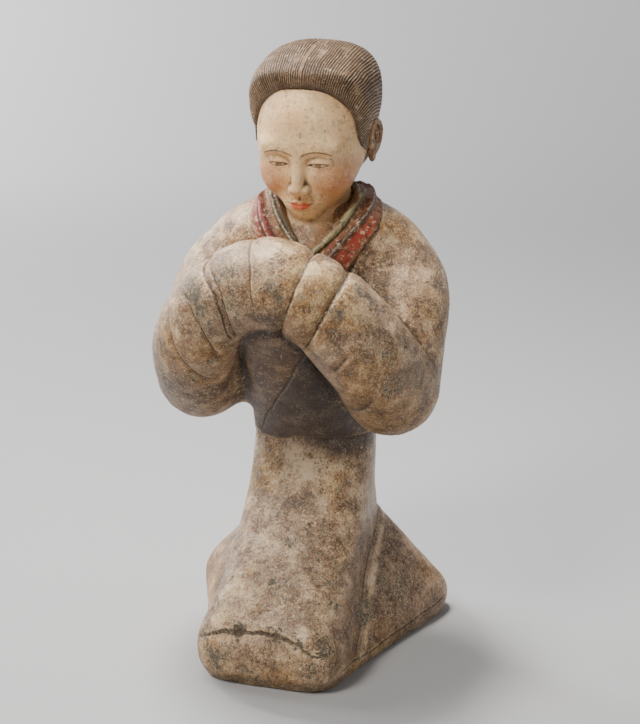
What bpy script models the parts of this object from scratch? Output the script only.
"""Kneeling court lady: a painted earthenware figure with her hands joined inside her sleeves.

The figure is one fired piece in metres. It faces -Y, its own left side is +X, and it stands on
z = 0 with the origin at the middle of its underside. Each form is a closed shape of its own:
level rings for the body, tubes for the sleeves and collar, reshaped spheres for the head. One
voxel skin joins them, is smoothed and thinned to light facets, and is cut flat at the ground.
"""

import math

import bmesh
import bpy
import numpy as np

# ---------------------------------------------------------------- driving dimensions, metres
NAME = "court_lady_figure"
CLAY = (0.43, 0.31, 0.21, 1.0)
CLAY_ROUGHNESS = 0.6

ROUND = 48                 # points around a loft
CAP_RINGS = 6              # rings that round off each end of a tube
SKIN_VOXEL = 0.0026        # grid of the skin that joins the forms
SKIN_SMOOTHING = 5         # rounds of smoothing that soften its joins
SKIN_TRIANGLES = 9300      # facets of the finished solid
SUNK = 0.012               # how far the forms run below the ground before the cut
GROUND_WIDTH = 0.5
GROUND_DEPTH = 0.1

# Level rings: height, front y, back y, half width in front, half width behind, squareness
BODY = (
    (-SUNK, -0.098, 0.060, 0.056, 0.050, 4.8),
    (0.000, -0.102, 0.062, 0.059, 0.051, 5.0),
    (0.014, -0.109, 0.066, 0.064, 0.053, 5.0),
    (0.032, -0.110, 0.070, 0.065, 0.054, 5.0),
    (0.045, -0.105, 0.073, 0.061, 0.054, 4.6),
    (0.060, -0.089, 0.078, 0.056, 0.054, 4.0),
    (0.080, -0.058, 0.083, 0.055, 0.053, 3.4),
    (0.100, -0.033, 0.088, 0.055, 0.051, 2.9),
    (0.125, -0.012, 0.090, 0.055, 0.048, 2.5),
    (0.150, 0.003, 0.090, 0.054, 0.048, 2.3),
    (0.172, 0.010, 0.088, 0.053, 0.049, 2.3),
    (0.200, 0.008, 0.089, 0.055, 0.052, 2.3),
    (0.240, 0.002, 0.092, 0.059, 0.058, 2.3),
    (0.280, -0.001, 0.095, 0.064, 0.064, 2.3),
    (0.315, 0.001, 0.096, 0.071, 0.072, 2.3),
    (0.340, 0.006, 0.093, 0.073, 0.074, 2.3),
    (0.357, 0.013, 0.087, 0.060, 0.061, 2.2),
    (0.368, 0.020, 0.080, 0.042, 0.043, 2.0),
    (0.376, 0.030, 0.070, 0.022, 0.024, 2.0),
)
TRAIN = (
    (-SUNK, -0.092, 0.096, 0.052, 0.118, 5.2),
    (0.000, -0.095, 0.098, 0.055, 0.122, 5.2),
    (0.010, -0.094, 0.101, 0.056, 0.127, 5.0),
    (0.024, -0.084, 0.101, 0.053, 0.127, 4.6),
    (0.040, -0.066, 0.098, 0.048, 0.118, 3.9),
    (0.058, -0.045, 0.095, 0.043, 0.102, 3.2),
    (0.075, -0.022, 0.092, 0.038, 0.085, 2.8),
    (0.089, 0.000, 0.089, 0.034, 0.067, 2.5),
    (0.100, 0.020, 0.084, 0.024, 0.044, 2.2),
)
SPREAD = 1.25              # how late the rings widen towards the back
NECK = (
    (0.335, 0.012, 0.076, 0.028, 0.030, 2.0),
    (0.372, 0.014, 0.074, 0.026, 0.028, 2.0),
    (0.400, 0.012, 0.074, 0.027, 0.029, 2.0),
)

# Tubes: x, y, z, radius across, radius up
UPPER_ARM = (
    (0.040, 0.052, 0.321, 0.034, 0.032),
    (0.060, 0.051, 0.317, 0.036, 0.033),
    (0.073, 0.044, 0.306, 0.036, 0.035),
    (0.080, 0.028, 0.290, 0.036, 0.036),
    (0.081, 0.008, 0.266, 0.036, 0.037),
    (0.081, -0.010, 0.242, 0.036, 0.038),
    (0.079, -0.014, 0.231, 0.036, 0.038),
)
FOREARM = (
    (0.080, -0.012, 0.232, 0.036, 0.038),
    (0.075, -0.037, 0.256, 0.036, 0.037),
    (0.061, -0.057, 0.284, 0.036, 0.036),
    (0.045, -0.066, 0.305, 0.035, 0.035),
    (0.023, -0.071, 0.320, 0.035, 0.035),
    (0.000, -0.072, 0.326, 0.035, 0.036),
    (-0.012, -0.072, 0.325, 0.035, 0.036),
)
# The forearm sleeve's folds, each a row number along it, with their width in rows and their depth
FOLDS = (0.9, 1.75, 2.6, 3.6, 4.5)
FOLD_WIDTH = 0.22
FOLD_DEPTH = 0.0024
# Clay that fills in between the sleeve's elbow and the side, and between the hands and the chest
SLEEVE_WEB = (
    (0.076, -0.004, 0.242, 0.034, 0.041),
    (0.058, 0.014, 0.247, 0.036, 0.043),
    (0.036, 0.032, 0.252, 0.036, 0.045),
)
CHEST_WEB = (
    (0.000, -0.032, 0.313, 0.040, 0.026),
    (0.030, -0.028, 0.305, 0.038, 0.026),
    (0.056, -0.016, 0.282, 0.034, 0.026),
)
# The robe's front under the joined hands: level rings, as for the body
CHEST = (
    (0.160, 0.030, 0.080, 0.040, 0.040, 2.4),
    (0.178, 0.005, 0.070, 0.047, 0.046, 2.4),
    (0.200, -0.018, 0.060, 0.044, 0.048, 2.5),
    (0.225, -0.041, 0.055, 0.038, 0.047, 2.6),
    (0.250, -0.063, 0.050, 0.034, 0.046, 2.7),
    (0.270, -0.077, 0.045, 0.033, 0.045, 2.7),
    (0.288, -0.085, 0.040, 0.034, 0.045, 2.6),
    (0.312, -0.088, 0.035, 0.034, 0.045, 2.4),
)
COLLAR_OUTER = (
    (0.000, 0.084, 0.378, 0.006, 0.011),
    (0.028, 0.077, 0.376, 0.006, 0.011),
    (0.043, 0.055, 0.370, 0.006, 0.011),
    (0.040, 0.029, 0.359, 0.006, 0.011),
    (0.024, 0.010, 0.343, 0.006, 0.011),
    (0.004, 0.001, 0.325, 0.006, 0.011),
)
COLLAR_INNER = (
    (0.000, 0.077, 0.384, 0.005, 0.009),
    (0.024, 0.071, 0.382, 0.005, 0.009),
    (0.036, 0.053, 0.377, 0.005, 0.009),
    (0.033, 0.031, 0.367, 0.005, 0.009),
    (0.019, 0.014, 0.351, 0.005, 0.009),
    (0.002, 0.006, 0.333, 0.005, 0.009),
)

# The head is made upright about its own middle, then nods and is set on the neck
HEAD_AT = (0.0, 0.044, 0.427)
NOD = 14.0                 # degrees forward
# Balls: centre x, y, z from the middle of the head, radii, squareness
SKULL = (0.000, 0.004, 0.006, 0.045, 0.052, 0.053, 2.0)
FACE = (0.000, -0.014, -0.013, 0.041, 0.040, 0.050, 2.2)
JAW = (0.000, -0.021, -0.044, 0.025, 0.025, 0.021, 2.0)
NOSE = (0.000, -0.054, -0.020, 0.006, 0.007, 0.014, 2.0)
EAR = (0.044, 0.006, -0.012, 0.005, 0.008, 0.015, 2.0)
HAIR = (0.000, 0.008, 0.024, 0.0515, 0.056, 0.039, 2.5)
NAPE = (0.000, 0.026, -0.010, 0.042, 0.036, 0.046, 2.1)


def clear_scene():
    for obj in list(bpy.data.objects):
        bpy.data.objects.remove(obj, do_unlink=True)


def smooth_rows(rows, count):
    """Rows read at even steps from a Catmull-Rom curve through the given rows."""
    rows = np.array(rows, float)
    padded = np.vstack([2 * rows[0] - rows[1], rows, 2 * rows[-1] - rows[-2]])
    found = []
    for t in np.linspace(0, len(rows) - 1, count):
        i = min(int(t), len(rows) - 2)
        u = t - i
        a, b, c, d = padded[i:i + 4]
        found.append(0.5 * (2 * b + (c - a) * u + (2 * a - 5 * b + 4 * c - d) * u ** 2
                            + (3 * b - 3 * c + d - a) * u ** 3))
    return np.array(found)


def signed_power(value, power):
    return np.sign(value) * np.abs(value) ** power


def level_rings(rows, count):
    """Level superellipses that widen from their front half width to their back one."""
    angle = np.linspace(0, 2 * math.pi, ROUND, endpoint=False)
    rings = []
    for z, front, back, front_half, back_half, squareness in smooth_rows(rows, count):
        x = signed_power(np.sin(angle), 2 / squareness)
        share = (1 - signed_power(np.cos(angle), 2 / squareness)) / 2
        half = front_half + (back_half - front_half) * share ** SPREAD
        y = front + (back - front) * share
        rings.append(np.stack([x * half, y, np.full(ROUND, z)], 1))
    return rings


def tube_rings(rows, count, folds=()):
    """Rings square to a path, with a rounded cap at each end. The tube is nipped in at each fold."""
    path = smooth_rows(rows, count)
    place = np.linspace(0, len(rows) - 1, count)
    nip = sum(np.exp(-((place - fold) / FOLD_WIDTH) ** 2) for fold in folds) * FOLD_DEPTH
    centre, across, up = path[:, :3], path[:, 3] - nip, path[:, 4] - nip
    along = np.gradient(centre, axis=0)
    along /= np.linalg.norm(along, axis=1)[:, None]
    level = np.cross(along, (0, 0, 1))
    level /= np.linalg.norm(level, axis=1)[:, None]
    rise = np.cross(level, along)
    angle = np.linspace(0, 2 * math.pi, ROUND, endpoint=False)

    def ring(i, turn):
        size, reach = math.cos(turn), math.sin(turn) * across[i]
        return (centre[i] + along[i] * reach + np.outer(np.cos(angle), level[i]) * across[i] * size
                + np.outer(np.sin(angle), rise[i]) * up[i] * size)

    turns = np.linspace(0, 0.97 * math.pi / 2, CAP_RINGS + 1)[1:]
    return ([ring(0, -turn) for turn in turns[::-1]] + [ring(i, 0) for i in range(count)]
            + [ring(count - 1, turn) for turn in turns])


def loft(name, rings):
    """A closed skin over rings that have equal point counts."""
    bm = bmesh.new()
    loops = [[bm.verts.new(point) for point in ring] for ring in rings]
    for low, high in zip(loops, loops[1:]):
        for i in range(ROUND):
            j = (i + 1) % ROUND
            bm.faces.new((low[i], low[j], high[j], high[i]))
    bm.faces.new(loops[0][::-1])
    bm.faces.new(loops[-1])
    bmesh.ops.recalc_face_normals(bm, faces=bm.faces)
    mesh = bpy.data.meshes.new(name)
    bm.to_mesh(mesh)
    bm.free()
    return bpy.data.objects.new(name, mesh)


def ball(name, numbers, side=1):
    """A stretched sphere of the head, nodded with the head and set in its place."""
    centre, radii, squareness = np.array(numbers[:3]) * (side, 1, 1), numbers[3:6], numbers[6]
    bm = bmesh.new()
    bmesh.ops.create_uvsphere(bm, u_segments=32, v_segments=20, radius=1.0)
    nod = math.radians(NOD)
    for vert in bm.verts:
        point = np.array(vert.co)
        point /= (np.abs(point) ** squareness).sum() ** (1 / squareness)
        x, y, z = point * radii + centre
        vert.co = (HEAD_AT[0] + x,
                   HEAD_AT[1] + y * math.cos(nod) - z * math.sin(nod),
                   HEAD_AT[2] + y * math.sin(nod) + z * math.cos(nod))
    mesh = bpy.data.meshes.new(name)
    bm.to_mesh(mesh)
    bm.free()
    return bpy.data.objects.new(name, mesh)


def mirrored(rows):
    return [(-row[0],) + tuple(row[1:]) for row in rows]


def both_halves(rows):
    """One path from the last row's mirror image, through the first row, to the last row."""
    return mirrored(rows[:0:-1]) + list(rows)


def make_forms():
    forms = [
        loft("body", level_rings(BODY, 80)),
        loft("train", level_rings(TRAIN, 30)),
        loft("chest", level_rings(CHEST, 40)),
        loft("neck", level_rings(NECK, 10)),
        loft("collar_outer", tube_rings(both_halves(COLLAR_OUTER), 60)),
        loft("collar_inner", tube_rings(both_halves(COLLAR_INNER), 60)),
        loft("chest_web", tube_rings(both_halves(CHEST_WEB), 40)),
        ball("skull", SKULL),
        ball("face", FACE),
        ball("jaw", JAW),
        ball("nose", NOSE),
        ball("hair", HAIR),
        ball("nape", NAPE),
    ]
    for side, word in ((1, "left"), (-1, "right")):
        for label, rows, folds in (("upper_arm_", UPPER_ARM, ()), ("forearm_", FOREARM, FOLDS),
                                   ("web_", SLEEVE_WEB, ())):
            rows = rows if side > 0 else mirrored(rows)
            forms.append(loft(label + word, tube_rings(rows, 60, folds)))
        forms.append(ball("ear_" + word, EAR, side))
    return forms


def join(forms, name):
    """One object that holds every form's mesh."""
    bm = bmesh.new()
    for form in forms:
        bm.from_mesh(form.data)
        bpy.data.objects.remove(form, do_unlink=True)
    mesh = bpy.data.meshes.new(name)
    bm.to_mesh(mesh)
    bm.free()
    return bpy.data.objects.new(name, mesh)


def make_ground():
    """A block with its top at z = 0, which cuts the underside flat."""
    bm = bmesh.new()
    bmesh.ops.create_cube(bm, size=1.0)
    for vert in bm.verts:
        vert.co = (vert.co.x * GROUND_WIDTH, vert.co.y * GROUND_WIDTH, (vert.co.z - 0.5) * GROUND_DEPTH)
    mesh = bpy.data.meshes.new("ground")
    bm.to_mesh(mesh)
    bm.free()
    ground = bpy.data.objects.new("ground", mesh)
    ground.hide_render = True
    ground.display_type = "WIRE"
    return ground


def add_skin(figure, ground):
    remesh = figure.modifiers.new("skin", "REMESH")
    remesh.mode = "VOXEL"
    remesh.voxel_size = SKIN_VOXEL
    soften = figure.modifiers.new("soften", "SMOOTH")
    soften.factor = 0.5
    soften.iterations = SKIN_SMOOTHING
    thin = figure.modifiers.new("thin", "DECIMATE")
    thin.ratio = 1.0
    cut = figure.modifiers.new("ground", "BOOLEAN")
    cut.operation = "DIFFERENCE"
    cut.object = ground
    return thin


def count_triangles(figure):
    shape = figure.evaluated_get(bpy.context.evaluated_depsgraph_get())
    mesh = shape.to_mesh()
    mesh.calc_loop_triangles()
    count = len(mesh.loop_triangles)
    shape.to_mesh_clear()
    return count


def main():
    clear_scene()
    parts = bpy.data.collections.new(NAME)
    cutters = bpy.data.collections.new("cutters")
    for collection in (parts, cutters):
        bpy.context.scene.collection.children.link(collection)

    ground = make_ground()
    cutters.objects.link(ground)

    figure = join(make_forms(), NAME)
    parts.objects.link(figure)
    thin = add_skin(figure, ground)
    thin.ratio = SKIN_TRIANGLES / count_triangles(figure)

    material = bpy.data.materials.new("painted_clay")
    material.use_nodes = True
    shader = material.node_tree.nodes["Principled BSDF"]
    shader.inputs["Base Color"].default_value = CLAY
    shader.inputs["Roughness"].default_value = CLAY_ROUGHNESS
    figure.data.materials.append(material)


main()
